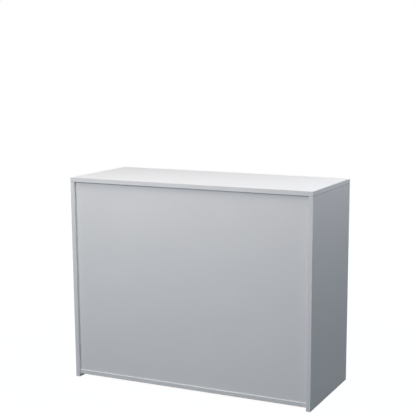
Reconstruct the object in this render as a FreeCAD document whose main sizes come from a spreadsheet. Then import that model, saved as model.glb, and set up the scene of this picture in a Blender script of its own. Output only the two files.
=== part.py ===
import FreeCAD, Part
import os
import Sketcher
from FreeCAD import Placement, Rotation, Vector

# Shop counter of melamine-faced board, in millimetres.
# +Z is up, the customer side faces -Y, the staff side is open towards +Y and +X is to the
# customer's right. The origin is on the floor, under the middle of the counter.

SIZES = {
    # Overall
    "counter_width": 1120,
    "counter_depth": 456,
    "counter_height": 900,
    # Boards and their edge tape
    "outer_board": 19,
    "board": 18,
    "edge_tape": 1,
    "arris_radius": 0.7,
    "front_recess": 10,
    "inner_setback": 6.5,
    "floor_gap": 14.5,
    "joint_groove": 0.8,
    "joint_groove_depth": 1.5,
    # Loose shelves
    "shelf_side_gap": 1.5,
    "shelf_front_gap": 3,
    "shelf_setback": 20,
    "shelf_seat_gap": 0.2,
    # Shelf pins and their rows of holes
    "pin_first": 224,
    "pin_pitch": 32,
    "pin_inset": 50,
    "pin_radius": 2.5,
    "pin_web": 0.75,
    "pin_end_gap": 0.25,
    "pin_flange_radius": 4,
    "pin_flange": 1,
    "pin_reach": 11,
    "pin_plate_width": 10,
    "pin_plate": 2.5,
    "pin_plate_rise": 1.5,
    # Places of the board fittings
    "fitting_inset": 70,
    "dowel_offset": 32,
    "panel_screw_offset": 300,
    # Radial clearance of fittings in their holes
    "fit_gap": 0.05,
    # Cam locks
    "cam_radius": 7.5,
    "cam_web": 4.5,
    "cam_seat_gap": 0.2,
    "cam_sink": 0.3,
    "cam_setback": 24,
    "cross_reach": 3.2,
    "cross_half_width": 0.7,
    "cross_depth": 2.6,
    # Cam bolts
    "bolt_grip": 11,
    "bolt_thread_radius": 2.5,
    "bolt_collar_radius": 3.7,
    "bolt_collar": 1.5,
    "bolt_shank_radius": 3,
    "bolt_neck_radius": 1.9,
    "bolt_neck": 3,
    "bolt_head_radius": 3.2,
    "bolt_head": 3,
    "bolt_end_gap": 0.2,
    "bolt_bore_radius": 4,
    # Cam cover caps
    "cap_radius": 8.7,
    "cap_thickness": 1.1,
    "cap_edge_radius": 0.6,
    "cap_stem_depth": 2.2,
    "cap_stem_gap": 0.1,
    # Wooden dowels
    "dowel_radius": 4,
    "dowel_in_face": 11,
    "dowel_in_edge": 20,
    "dowel_chamfer": 1,
    "dowel_end_gap": 1,
    # Screws up through the base
    "screw_length": 50,
    "screw_head_radius": 5,
    "screw_shank_radius": 3.5,
    "screw_thread_radius": 3,
    "screw_tip": 3,
    "screw_end_gap": 2,
    # Floor glides and their nails
    "glide_height": 3,
    "glide_proud": 0.5,
    "glide_radius": 6,
    "glide_edge_radius": 0.6,
    "glide_inset": 50,
    "nail_radius": 1,
    "nail_length": 16,
    "nail_head_radius": 4,
    "nail_head": 1,
    # Levelling foot under the middle of the base
    "insert_length": 13,
    "insert_radius": 5.5,
    "insert_flange_radius": 10,
    "insert_flange": 1.5,
    "stud_radius": 4,
    "stud_run_gap": 0.08,
    "stud_top": 28,
    "stud_seat_gap": 0.2,
    "hexagon_flats": 13,
    "hexagon_height": 3.5,
    "foot_radius": 15,
    "foot_height": 5,
    "foot_edge_radius": 1.2,
    "foot_socket_depth": 3.5,
}

# Pin holes in a row, and the hole, counted from below, that carries the shelf.
PIN_ROWS = 13
SHELF_ROW = PIN_ROWS // 2

AXES = {
    "+X": Vector(1, 0, 0),
    "-X": Vector(-1, 0, 0),
    "+Y": Vector(0, 1, 0),
    "-Y": Vector(0, -1, 0),
    "+Z": Vector(0, 0, 1),
    "-Z": Vector(0, 0, -1),
}
OPPOSITE = {"+X": "-X", "-X": "+X", "+Y": "-Y", "-Y": "+Y", "+Z": "-Z", "-Z": "+Z"}
SIDES = ((-1, "left", "+X"), (1, "right", "-X"))

doc = FreeCAD.newDocument("shop_counter")
dim = doc.addObject("Spreadsheet::Sheet", "dim")
for row, (alias, number) in enumerate(SIZES.items(), 1):
    dim.set(f"A{row}", alias)
    dim.set(f"B{row}", str(number))
    dim.setAlias(f"B{row}", alias)
doc.recompute()

# Planes of the carcass, as expressions on the sheet
HALF_WIDTH = "(dim.counter_width / 2)"
HALF_DEPTH = "(dim.counter_depth / 2)"
INNER_X = f"({HALF_WIDTH} - dim.outer_board)"
SIDE_MID_X = f"({HALF_WIDTH} - dim.outer_board / 2)"
SIDE_FITTING_X = f"({INNER_X} + dim.board / 2)"
TAPED_DEPTH = "(dim.counter_depth - 2 * dim.edge_tape)"
TAPED_FRONT = f"(dim.edge_tape - {HALF_DEPTH})"
TOP_UNDERSIDE = "(dim.counter_height - dim.outer_board)"
SIDE_HEIGHT = f"({TOP_UNDERSIDE} - dim.glide_proud)"
BASE_TOP = "(dim.floor_gap + dim.board)"
BASE_MID = "(dim.floor_gap + dim.board / 2)"
UPRIGHT_HEIGHT = f"({TOP_UNDERSIDE} - {BASE_TOP})"
PANEL_FRONT = f"(dim.front_recess - {HALF_DEPTH})"
PANEL_MID = f"({PANEL_FRONT} + dim.board / 2)"
PANEL_BACK = f"({PANEL_FRONT} + dim.board)"
INNER_BACK = f"({HALF_DEPTH} - dim.inner_setback)"
SHELF_FRONT = f"({PANEL_BACK} + dim.shelf_front_gap)"
SHELF_BACK = f"({HALF_DEPTH} - dim.shelf_setback)"
SHELF_LENGTH = f"({INNER_X} - dim.board / 2 - 2 * dim.shelf_side_gap)"
PIN_DEPTH = "(dim.board / 2 - dim.pin_web)"
PIN_Y = (f"({SHELF_FRONT} + dim.pin_inset)", f"({SHELF_BACK} - dim.pin_inset)")
SHELF_PIN_Z = f"({BASE_TOP} + dim.pin_first + {SHELF_ROW} * dim.pin_pitch)"
SHELF_UNDERSIDE = f"({SHELF_PIN_Z} + dim.pin_plate_rise + dim.shelf_seat_gap)"


def number(expression):
    """The value of a sheet expression."""
    return float(dim.evalExpression(expression))


def place(thing, at, z_axis="+Z", x_axis="+X"):
    """Stand an object at a point, with its own Z and X along two named directions."""
    z_way = AXES[z_axis]
    x_way = AXES[x_axis]
    thing.Placement = Placement(Vector(), Rotation(x_way, z_way.cross(x_way), z_way, "ZXY"))
    for letter, expression in zip("xyz", at):
        thing.setExpression(f"Placement.Base.{letter}", expression)


def across(direction):
    """A direction square to the given one."""
    return "+X" if direction[1] != "X" else "+Y"


def moved(at, direction, distance):
    """A point moved along a named direction."""
    index = "XYZ".index(direction[1])
    shifted = list(at)
    shifted[index] = f"({at[index]} {direction[0]} {distance})"
    return tuple(shifted)


def block(name, low, size):
    """A rectangular board from its lowest corner and its three lengths."""
    box = doc.addObject("Part::Box", name)
    for prop, expression in zip(("Length", "Width", "Height"), size):
        box.setExpression(prop, expression)
    place(box, low)
    return box


def origin_plane(body, role):
    """One of a body's own origin planes."""
    return next(plane for plane in body.Origin.OriginFeatures if plane.Role == role)


def outline(body, name, role, points):
    """A closed sketch of straight lines through points given as expressions."""
    sketch = body.newObject("Sketcher::SketchObject", name)
    sketch.AttachmentSupport = [(origin_plane(body, role), "")]
    sketch.MapMode = "FlatFace"
    corners = [Vector(number(across_), number(up), 0) for across_, up in points]
    for start, end in zip(corners, corners[1:] + corners[:1]):
        sketch.addGeometry(Part.LineSegment(start, end), False)
    count = len(points)
    for index in range(count):
        sketch.addConstraint(Sketcher.Constraint("Coincident", index, 2, (index + 1) % count, 1))
    for index, (corner, point) in enumerate(zip(corners, points)):
        for kind, length, expression in zip(("DistanceX", "DistanceY"), corner, point):
            added = sketch.addConstraint(Sketcher.Constraint(kind, -1, 1, index, 1, length))
            sketch.setExpression(f"Constraints[{added}]", expression)
    doc.recompute()
    return sketch


def rectangle(low_x, low_y, high_x, high_y):
    """The four corners of a rectangle, as expressions."""
    return [(low_x, low_y), (high_x, low_y), (high_x, high_y), (low_x, high_y)]


def turned(name, profile):
    """A body turned about its own Z from a half profile of (radius, height) expressions."""
    body = doc.addObject("PartDesign::Body", name)
    sketch = outline(body, f"{name}_profile", "XZ_Plane", profile)
    turn = body.newObject("PartDesign::Revolution", f"{name}_turn")
    turn.Profile = sketch
    turn.ReferenceAxis = (sketch, ["V_Axis"])
    turn.Angle = 360
    doc.recompute()
    return body


def padded(body, name, sketch, length):
    """Raise a sketch along its normal as part of the body."""
    pad = body.newObject("PartDesign::Pad", name)
    pad.Profile = sketch
    pad.setExpression("Length", length)
    doc.recompute()
    return pad


def pocketed(body, name, sketch, length, along_normal=False):
    """Cut a sketch out of the body, against its normal or along it, and see that it bit."""
    before = body.Shape.Volume
    pocket = body.newObject("PartDesign::Pocket", name)
    pocket.Profile = sketch
    pocket.Reversed = along_normal
    pocket.setExpression("Length", length)
    doc.recompute()
    if body.Shape.Volume >= before:
        raise ValueError(f"{name} cuts nothing")
    return pocket


def rounded(body, name, chosen, radius):
    """Round the edges of the body's last feature that a test picks."""
    base = body.Tip
    picked = [f"Edge{index}" for index, edge in enumerate(base.Shape.Edges, 1) if chosen(edge)]
    fillet = body.newObject("PartDesign::Fillet", name)
    fillet.Base = (base, picked)
    fillet.setExpression("Radius", radius)
    doc.recompute()
    return fillet


def on_level(edge, level):
    """Whether an edge lies wholly at one height of its body."""
    box = edge.BoundBox
    near = 1e-6
    return abs(box.ZMin - level) < near and abs(box.ZMax - level) < near


# Boards: each blank and the holes drilled in it

blanks = {
    "top_panel": block(
        "top_blank",
        (f"dim.edge_tape - {HALF_WIDTH}", TAPED_FRONT, TOP_UNDERSIDE),
        ("dim.counter_width - 2 * dim.edge_tape", TAPED_DEPTH, "dim.outer_board"),
    ),
    "front_panel": block(
        "front_blank",
        (f"-{INNER_X}", PANEL_FRONT, BASE_TOP),
        (f"2 * {INNER_X}", "dim.board", UPRIGHT_HEIGHT),
    ),
    "base_panel": block(
        "base_blank",
        (f"-{INNER_X}", f"dim.edge_tape - {INNER_BACK}", "dim.floor_gap"),
        (f"2 * {INNER_X}", f"2 * ({INNER_BACK} - dim.edge_tape)", "dim.board"),
    ),
    "centre_upright": block(
        "upright_blank",
        ("-dim.board / 2", PANEL_BACK, BASE_TOP),
        ("dim.board", f"{INNER_BACK} - dim.edge_tape - {PANEL_BACK}", UPRIGHT_HEIGHT),
    ),
}
for sign, side, _ in SIDES:
    blanks[f"{side}_side_panel"] = block(
        f"{side}_side_blank",
        (f"{sign} * {SIDE_MID_X} - dim.outer_board / 2", TAPED_FRONT, "dim.glide_proud"),
        ("dim.outer_board", TAPED_DEPTH, SIDE_HEIGHT),
    )

drillings = {board: [] for board in blanks}


def drill(board, at, along, radius, depth):
    """Bore a round hole into a board, from a point on its surface along a direction."""
    hole = doc.addObject("Part::Cylinder", f"{board}_hole")
    hole.setExpression("Radius", radius)
    hole.setExpression("Height", depth)
    place(hole, at, along, across(along))
    drillings[board].append(hole)


def groove_top_edge(board, sign):
    """Cut the fine shadow groove under the worktop in a side board's outer face; the tapes stop below it."""
    groove_x = f"{sign} * ({HALF_WIDTH} - dim.joint_groove_depth / 2) - dim.joint_groove_depth / 2"
    groove = block(
        f"{board}_groove",
        (groove_x, TAPED_FRONT, f"{TOP_UNDERSIDE} - dim.joint_groove"),
        ("dim.joint_groove_depth", TAPED_DEPTH, "dim.joint_groove"),
    )
    drillings[board].append(groove)


# Board fittings: one pattern of each kind, drawn in its own frame

cam_floor = "-(dim.board - dim.cam_web - dim.cam_seat_gap)"
cam_lock = turned(
    "cam_lock",
    [
        ("0", "-dim.cam_sink"),
        ("dim.cam_radius - dim.fit_gap", "-dim.cam_sink"),
        ("dim.cam_radius - dim.fit_gap", cam_floor),
        ("0", cam_floor),
    ],
)
bolt_mouth = "(dim.bolt_head_radius + dim.fit_gap)"
mouth_sketch = outline(
    cam_lock,
    "cam_mouth_outline",
    "YZ_Plane",
    rectangle(
        f"-{bolt_mouth}",
        f"-dim.board / 2 - {bolt_mouth}",
        bolt_mouth,
        f"-dim.board / 2 + {bolt_mouth}",
    ),
)
pocketed(cam_lock, "cam_mouth", mouth_sketch, "2 * dim.cam_radius", along_normal=True)
reach = "dim.cross_reach"
half = "dim.cross_half_width"
cross_sketch = outline(
    cam_lock,
    "cam_cross_outline",
    "XY_Plane",
    [
        (half, half),
        (half, reach),
        (f"-{half}", reach),
        (f"-{half}", half),
        (f"-{reach}", half),
        (f"-{reach}", f"-{half}"),
        (f"-{half}", f"-{half}"),
        (f"-{half}", f"-{reach}"),
        (half, f"-{reach}"),
        (half, f"-{half}"),
        (reach, f"-{half}"),
        (reach, half),
    ],
)
pocketed(cam_lock, "cam_cross", cross_sketch, "dim.cam_sink + dim.cross_depth")

bolt_tip = "(dim.cam_setback - dim.bolt_end_gap)"
neck_end = f"({bolt_tip} - dim.bolt_head)"
neck_start = f"({neck_end} - dim.bolt_neck)"
cam_bolt = turned(
    "cam_bolt",
    [
        ("0", "-dim.bolt_grip"),
        ("dim.bolt_thread_radius - dim.fit_gap", "-dim.bolt_grip"),
        ("dim.bolt_thread_radius - dim.fit_gap", "0"),
        ("dim.bolt_collar_radius", "0"),
        ("dim.bolt_collar_radius", "dim.bolt_collar"),
        ("dim.bolt_shank_radius", "dim.bolt_collar"),
        ("dim.bolt_shank_radius", neck_start),
        ("dim.bolt_neck_radius", neck_start),
        ("dim.bolt_neck_radius", neck_end),
        ("dim.bolt_head_radius", neck_end),
        ("dim.bolt_head_radius", bolt_tip),
        ("0", bolt_tip),
    ],
)

stem_radius = "(dim.cross_half_width - dim.cap_stem_gap)"
cam_cap = turned(
    "cam_cap",
    [
        ("0", "-dim.cap_stem_depth"),
        (stem_radius, "-dim.cap_stem_depth"),
        (stem_radius, "0"),
        ("dim.cap_radius", "0"),
        ("dim.cap_radius", "dim.cap_thickness"),
        ("0", "dim.cap_thickness"),
    ],
)
cap_rim = number("dim.cap_thickness")
rounded(
    cam_cap,
    "cam_cap_rim",
    lambda edge: on_level(edge, cap_rim),
    "min(dim.cap_edge_radius; 0.9 * dim.cap_thickness)",
)

dowel_side = "(dim.dowel_radius - dim.fit_gap)"
dowel = turned(
    "dowel",
    [
        ("0", "-dim.dowel_in_face"),
        (f"{dowel_side} - dim.dowel_chamfer", "-dim.dowel_in_face"),
        (dowel_side, "dim.dowel_chamfer - dim.dowel_in_face"),
        (dowel_side, "dim.dowel_in_edge - dim.dowel_chamfer"),
        (f"{dowel_side} - dim.dowel_chamfer", "dim.dowel_in_edge"),
        ("0", "dim.dowel_in_edge"),
    ],
)

head_depth = "(dim.screw_head_radius - dim.screw_shank_radius)"
base_screw = turned(
    "base_screw",
    [
        ("0", "0"),
        ("dim.screw_head_radius - dim.fit_gap", "0"),
        ("dim.screw_shank_radius - dim.fit_gap", head_depth),
        ("dim.screw_shank_radius - dim.fit_gap", "dim.board"),
        ("dim.screw_thread_radius - dim.fit_gap", "dim.board"),
        ("dim.screw_thread_radius - dim.fit_gap", "dim.screw_length - dim.screw_tip"),
        ("0", "dim.screw_length"),
    ],
)

shelf_pin = turned(
    "shelf_pin",
    [
        ("0", f"dim.pin_end_gap - {PIN_DEPTH}"),
        ("dim.pin_radius - dim.fit_gap", f"dim.pin_end_gap - {PIN_DEPTH}"),
        ("dim.pin_radius - dim.fit_gap", "0"),
        ("dim.pin_flange_radius", "0"),
        ("dim.pin_flange_radius", "dim.pin_flange"),
        ("0", "dim.pin_flange"),
    ],
)
plate_sketch = outline(
    shelf_pin,
    "shelf_pin_plate_outline",
    "XY_Plane",
    rectangle(
        "dim.pin_plate_rise - dim.pin_plate",
        "-dim.pin_plate_width / 2",
        "dim.pin_plate_rise",
        "dim.pin_plate_width / 2",
    ),
)
padded(shelf_pin, "shelf_pin_plate", plate_sketch, "dim.pin_reach")

glide_recess = "(dim.nail_head_radius + dim.fit_gap)"
floor_glide = turned(
    "floor_glide",
    [
        ("0", "0"),
        ("dim.glide_radius", "0"),
        ("dim.glide_radius", "dim.glide_height"),
        (glide_recess, "dim.glide_height"),
        (glide_recess, "dim.glide_height - dim.nail_head"),
        ("0", "dim.glide_height - dim.nail_head"),
    ],
)
rounded(
    floor_glide,
    "floor_glide_rim",
    lambda edge: on_level(edge, 0),
    "min(dim.glide_edge_radius; 0.45 * dim.glide_height)",
)
glide_nail = turned(
    "glide_nail",
    [
        ("0", "dim.glide_height - dim.nail_head"),
        ("dim.nail_head_radius", "dim.glide_height - dim.nail_head"),
        ("dim.nail_head_radius", "dim.glide_height"),
        ("dim.nail_radius - dim.fit_gap", "dim.glide_height"),
        ("dim.nail_radius - dim.fit_gap", "dim.glide_height + dim.nail_length - dim.nail_radius"),
        ("0", "dim.glide_height + dim.nail_length"),
    ],
)

groups = {}


def put(group, pattern, at, z_axis, x_axis):
    """Add a placed copy of a fitting to the group that is its node."""
    copy = doc.addObject("App::Link", f"{pattern.Name}_copy")
    copy.LinkedObject = pattern
    place(copy, at, z_axis, x_axis)
    groups.setdefault(group, []).append(copy)


def cam_joint(group, face_board, edge_board, at, out, look):
    """A cam lock joint between the face of one board and the edge of another.

    The bolt is screwed into face_board at a point of the meeting plane and runs along out
    into edge_board, where the cam turned in from the side that look points to holds its head.
    """
    drill(face_board, at, OPPOSITE[out], "dim.bolt_thread_radius", "dim.bolt_grip")
    drill(edge_board, at, out, "dim.bolt_bore_radius", "dim.cam_setback")
    centre = moved(moved(at, out, "dim.cam_setback"), look, "dim.board / 2")
    drill(edge_board, centre, OPPOSITE[look], "dim.cam_radius", "dim.board - dim.cam_web")
    put(f"{group}_cam_bolts", cam_bolt, at, out, across(out))
    put(f"{group}_cam_locks", cam_lock, centre, look, OPPOSITE[out])
    if look != "-Z":
        put("cam_cover_caps", cam_cap, centre, look, OPPOSITE[out])


def dowel_joint(group, face_board, edge_board, at, out):
    """A dowel let into the face of one board and, along out, into the edge of another."""
    drill(face_board, at, OPPOSITE[out], "dim.dowel_radius", "dim.dowel_in_face + dim.dowel_end_gap")
    drill(edge_board, at, out, "dim.dowel_radius", "dim.dowel_in_edge + dim.dowel_end_gap")
    put(f"{group}_dowels", dowel, at, out, across(out))


def screw_joint(edge_board, x, y):
    """A countersunk screw up through the base into the lower edge of an upright board."""
    low = (x, y, "dim.floor_gap")
    drill("base_panel", low, "+Z", "dim.screw_shank_radius", "dim.board")
    sink = doc.addObject("Part::Cone", "base_panel_countersink")
    sink.setExpression("Radius1", "dim.screw_head_radius")
    sink.setExpression("Radius2", "dim.screw_shank_radius")
    sink.setExpression("Height", head_depth)
    place(sink, low)
    drillings["base_panel"].append(sink)
    hole_depth = "dim.screw_length - dim.board + dim.screw_end_gap"
    drill(edge_board, (x, y, BASE_TOP), "+Z", "dim.screw_thread_radius", hole_depth)
    put("base_screws", base_screw, low, "+Z", "+X")


# Joints of the carcass

LOW_FITTING = f"({BASE_TOP} + dim.fitting_inset)"
HIGH_FITTING = f"({TOP_UNDERSIDE} - dim.fitting_inset)"
FITTING_X = f"({INNER_X} - dim.fitting_inset)"
UPRIGHT_FRONT_FITTING = f"({PANEL_BACK} + dim.fitting_inset)"
UPRIGHT_BACK_FITTING = f"({INNER_BACK} - dim.fitting_inset)"
DOWELS_INWARD = (("+", LOW_FITTING), ("-", HIGH_FITTING))

for sign, side, inward in SIDES:
    side_board = f"{side}_side_panel"
    inner_face = f"{sign} * {INNER_X}"
    groove_top_edge(side_board, sign)
    for end in (-1, 1):
        # Side board to worktop, with the cams on the inner face of the side board
        top_joint_y = f"{end} * ({HALF_DEPTH} - dim.fitting_inset)"
        top_dowel_y = f"{end} * ({HALF_DEPTH} - dim.fitting_inset - dim.dowel_offset)"
        side_x = f"{sign} * {SIDE_FITTING_X}"
        cam_joint("top", "top_panel", side_board, (side_x, top_joint_y, TOP_UNDERSIDE), "-Z", inward)
        dowel_joint("top", "top_panel", side_board, (side_x, top_dowel_y, TOP_UNDERSIDE), "-Z")
        # Base to side board, with the cams under the base
        base_joint_y = f"{end} * {UPRIGHT_BACK_FITTING}"
        base_dowel_y = f"{end} * ({UPRIGHT_BACK_FITTING} - dim.dowel_offset)"
        cam_joint("base", side_board, "base_panel", (inner_face, base_joint_y, BASE_MID), inward, "-Z")
        dowel_joint("base", side_board, "base_panel", (inner_face, base_dowel_y, BASE_MID), inward)
    # Front board to side board, with the cams on the staff side of the front board
    for height in (LOW_FITTING, f"({BASE_TOP} + {UPRIGHT_HEIGHT} / 2)", HIGH_FITTING):
        cam_joint("front", side_board, "front_panel", (inner_face, PANEL_MID, height), inward, "+Y")
    for way, height in DOWELS_INWARD:
        dowel_z = f"({height} {way} dim.dowel_offset)"
        dowel_joint("front", side_board, "front_panel", (inner_face, PANEL_MID, dowel_z), inward)
    # Front board to worktop and to base
    fitting_x = f"{sign} * {FITTING_X}"
    dowel_x = f"{sign} * ({FITTING_X} - dim.dowel_offset)"
    cam_joint("top", "top_panel", "front_panel", (fitting_x, PANEL_MID, TOP_UNDERSIDE), "-Z", "+Y")
    dowel_joint("top", "top_panel", "front_panel", (dowel_x, PANEL_MID, TOP_UNDERSIDE), "-Z")
    dowel_joint("base", "base_panel", "front_panel", (fitting_x, PANEL_MID, BASE_TOP), "+Z")
    screw_joint("front_panel", f"{sign} * dim.panel_screw_offset", PANEL_MID)

# Centre upright to worktop, front board and base, with the cams on its left face
cam_joint("top", "top_panel", "centre_upright", ("0", UPRIGHT_BACK_FITTING, TOP_UNDERSIDE), "-Z", "-X")
dowel_joint("top", "top_panel", "centre_upright", ("0", UPRIGHT_FRONT_FITTING, TOP_UNDERSIDE), "-Z")
for way, height in DOWELS_INWARD:
    dowel_z = f"({height} {way} dim.dowel_offset)"
    cam_joint("front", "front_panel", "centre_upright", ("0", PANEL_BACK, height), "+Y", "-X")
    dowel_joint("front", "front_panel", "centre_upright", ("0", PANEL_BACK, dowel_z), "+Y")
for depth in (UPRIGHT_FRONT_FITTING, UPRIGHT_BACK_FITTING):
    screw_joint("centre_upright", "0", depth)

# Rows of pin holes in the four walls of the bays, and the pins that carry the shelves

for sign, side, inward in SIDES:
    outward = OPPOSITE[inward]
    walls = (
        (f"{side}_side_panel", f"{sign} * {INNER_X}", outward),
        ("centre_upright", f"{sign} * dim.board / 2", inward),
    )
    for board, wall_x, into in walls:
        for pin_y in PIN_Y:
            for pin_row in range(PIN_ROWS):
                pin_z = f"({BASE_TOP} + dim.pin_first + {pin_row} * dim.pin_pitch)"
                drill(board, (wall_x, pin_y, pin_z), into, "dim.pin_radius", PIN_DEPTH)
            put(f"{side}_shelf_pins", shelf_pin, (wall_x, pin_y, SHELF_PIN_Z), OPPOSITE[into], "+Z")

# Glides let into the lower edges of the side boards and nailed there

for sign, side, _ in SIDES:
    for end in (-1, 1):
        foot = (f"{sign} * {SIDE_MID_X}", f"{end} * ({HALF_DEPTH} - dim.glide_inset)", "0")
        side_board = f"{side}_side_panel"
        mouth = moved(foot, "+Z", "dim.glide_proud")
        sink = "dim.glide_height - dim.glide_proud"
        drill(side_board, mouth, "+Z", "dim.glide_radius + dim.fit_gap", sink)
        drill(side_board, moved(foot, "+Z", "dim.glide_height"), "+Z", "dim.nail_radius", "dim.nail_length")
        put("floor_glides", floor_glide, foot, "+Z", "+X")
        put("glide_nails", glide_nail, foot, "+Z", "+X")

# Levelling foot: a threaded insert in the base, a stud with a hexagon, and the pad it turns in

drill("base_panel", ("0", "0", "dim.floor_gap"), "+Z", "dim.insert_radius", "dim.board")
foot_insert = turned(
    "foot_insert",
    [
        ("dim.stud_radius", "-dim.insert_flange"),
        ("dim.insert_flange_radius", "-dim.insert_flange"),
        ("dim.insert_flange_radius", "0"),
        ("dim.insert_radius - dim.fit_gap", "0"),
        ("dim.insert_radius - dim.fit_gap", "dim.insert_length"),
        ("dim.stud_radius", "dim.insert_length"),
    ],
)
place(foot_insert, ("0", "0", "dim.floor_gap"))

stud_side = "(dim.stud_radius - dim.stud_run_gap)"
stud_foot = "(dim.foot_height - dim.foot_socket_depth + dim.stud_seat_gap)"
hexagon_low = "(dim.foot_height + dim.stud_seat_gap)"
foot_stud = turned(
    "foot_stud",
    [
        ("0", f"{stud_foot} - {hexagon_low}"),
        (stud_side, f"{stud_foot} - {hexagon_low}"),
        (stud_side, f"dim.stud_top - {hexagon_low}"),
        ("0", f"dim.stud_top - {hexagon_low}"),
    ],
)
corner_reach = "(dim.hexagon_flats / sqrt(3))"
hexagon_sketch = outline(
    foot_stud,
    "foot_stud_hexagon_outline",
    "XY_Plane",
    [(f"{corner_reach} * cos({60 * turn})", f"{corner_reach} * sin({60 * turn})") for turn in range(6)],
)
padded(foot_stud, "foot_stud_hexagon", hexagon_sketch, "dim.hexagon_height")
place(foot_stud, ("0", "0", hexagon_low))

socket_radius = "(dim.stud_radius + dim.stud_run_gap)"
socket_floor = "(dim.foot_height - dim.foot_socket_depth)"
foot_pad = turned(
    "foot_pad",
    [
        ("0", "0"),
        ("dim.foot_radius", "0"),
        ("dim.foot_radius", "dim.foot_height"),
        (socket_radius, "dim.foot_height"),
        (socket_radius, socket_floor),
        ("0", socket_floor),
    ],
)
pad_radius = number("dim.foot_radius")
rounded(
    foot_pad,
    "foot_pad_rims",
    lambda edge: edge.Curve.TypeId == "Part::GeomCircle" and edge.Curve.Radius > 0.9 * pad_radius,
    "min(dim.foot_edge_radius; 0.45 * dim.foot_height)",
)
place(foot_pad, ("0", "0", "0"))


# Edge tapes


def tape(name, low, size, outer, long_axis, ends_too=False):
    """A strip of edge tape with its outer arrises rounded, and its outer ends if asked."""
    body = doc.addObject("PartDesign::Body", name)
    sketch = outline(body, f"{name}_outline", "XY_Plane", rectangle("0", "0", size[0], size[1]))
    strip = padded(body, f"{name}_strip", sketch, size[2])
    outer_way = AXES[outer]
    reach_out = max(vertex.Point.dot(outer_way) for vertex in strip.Shape.Vertexes)

    def on_arris(edge):
        points = [vertex.Point for vertex in edge.Vertexes]
        outside = all(abs(point.dot(outer_way) - reach_out) < 1e-6 for point in points)
        along = (points[1] - points[0]).normalize()
        return outside and (ends_too or abs(along.dot(AXES[long_axis])) > 0.5)

    rounded(body, f"{name}_arris", on_arris, "min(dim.arris_radius; 0.9 * dim.edge_tape)")
    place(body, low)
    return body


tapes = {"top_edge_tape": [], "base_edge_tape": []}
for word, end, outer in (("front", -1, "-Y"), ("back", 1, "+Y")):
    edge_y = f"{end} * ({HALF_DEPTH} - dim.edge_tape / 2) - dim.edge_tape / 2"
    low = (f"-{HALF_WIDTH}", edge_y, TOP_UNDERSIDE)
    size = ("dim.counter_width", "dim.edge_tape", "dim.outer_board")
    tapes["top_edge_tape"].append(tape(f"top_{word}_tape", low, size, outer, "+X", ends_too=True))
    base_y = f"{end} * ({INNER_BACK} - dim.edge_tape / 2) - dim.edge_tape / 2"
    low = (f"-{INNER_X}", base_y, "dim.floor_gap")
    size = (f"2 * {INNER_X}", "dim.edge_tape", "dim.board")
    tapes["base_edge_tape"].append(tape(f"base_{word}_tape", low, size, outer, "+X"))
    for sign, side, _ in SIDES:
        low = (f"{sign} * {SIDE_MID_X} - dim.outer_board / 2", edge_y, "dim.glide_proud")
        size = ("dim.outer_board", "dim.edge_tape", f"{SIDE_HEIGHT} - dim.joint_groove")
        strip = tape(f"{side}_side_{word}_tape", low, size, outer, "+Z", ends_too=True)
        tapes.setdefault(f"{side}_side_edge_tape", []).append(strip)
for sign, side, inward in SIDES:
    edge_x = f"{sign} * ({HALF_WIDTH} - dim.edge_tape / 2) - dim.edge_tape / 2"
    low = (edge_x, TAPED_FRONT, TOP_UNDERSIDE)
    size = ("dim.edge_tape", TAPED_DEPTH, "dim.outer_board")
    tapes["top_edge_tape"].append(tape(f"top_{side}_tape", low, size, OPPOSITE[inward], "+Y"))

nodes = {"foot_insert": foot_insert, "foot_stud": foot_stud, "foot_pad": foot_pad}

# Loose shelves, each with a taped edge on the staff side

for sign, side, _ in SIDES:
    shelf_low_x = f"{sign} * (({INNER_X} + dim.board / 2) / 2) - {SHELF_LENGTH} / 2"
    nodes[f"{side}_shelf"] = block(
        f"{side}_shelf",
        (shelf_low_x, SHELF_FRONT, SHELF_UNDERSIDE),
        (SHELF_LENGTH, f"{SHELF_BACK} - dim.edge_tape - {SHELF_FRONT}", "dim.board"),
    )
    nodes[f"{side}_shelf_edge_tape"] = tape(
        f"{side}_shelf_edge_tape",
        (shelf_low_x, f"{SHELF_BACK} - dim.edge_tape", SHELF_UNDERSIDE),
        (SHELF_LENGTH, "dim.edge_tape", "dim.board"),
        "+Y",
        "+X",
    )
nodes["upright_edge_tape"] = tape(
    "upright_edge_tape",
    ("-dim.board / 2", f"{INNER_BACK} - dim.edge_tape", BASE_TOP),
    ("dim.board", "dim.edge_tape", UPRIGHT_HEIGHT),
    "+Y",
    "+Z",
)

# Nodes: drilled boards, and groups of tapes and fittings

for board, blank in blanks.items():
    holes = doc.addObject("Part::Compound", f"{board}_holes")
    holes.Links = drillings[board]
    drilled = doc.addObject("Part::Cut", board)
    drilled.Base = blank
    drilled.Tool = holes
    nodes[board] = drilled
for group, members in {**tapes, **groups}.items():
    bundle = doc.addObject("Part::Compound", group)
    bundle.Links = members
    nodes[group] = bundle
for label, thing in nodes.items():
    thing.Label = label
doc.recompute()

# Every object is sound before anything is written

for thing in doc.Objects:
    if "Invalid" in thing.State or "Error" in thing.State:
        raise ValueError(f"{thing.Label} failed: {thing.State}")
for label, thing in nodes.items():
    if thing.Label != label:
        raise ValueError(f"{label} is labelled {thing.Label}")
    if thing.Shape.isNull() or not thing.Shape.isValid() or not thing.Shape.Solids:
        raise ValueError(f"{label} has no valid solid")
os.makedirs("parts", exist_ok=True)
for label, thing in sorted(nodes.items()):
    thing.Shape.exportStep(f"parts/{label}.step")
    print(f"{label}: {len(thing.Shape.Solids)} solids, {thing.Shape.Volume:.0f} mm3")
print(f"{len(nodes)} nodes")
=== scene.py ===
"""Looks of a white shop counter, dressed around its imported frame.

The boards, tapes and board fittings are the frame's own solids, and each gets a finish. The
cover caps, the shelf pins and the levelling foot are worked out here in finer detail.
Lengths are in metres. +Z is up, customers stand on the -Y side and staff on the +Y side.
"""

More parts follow.
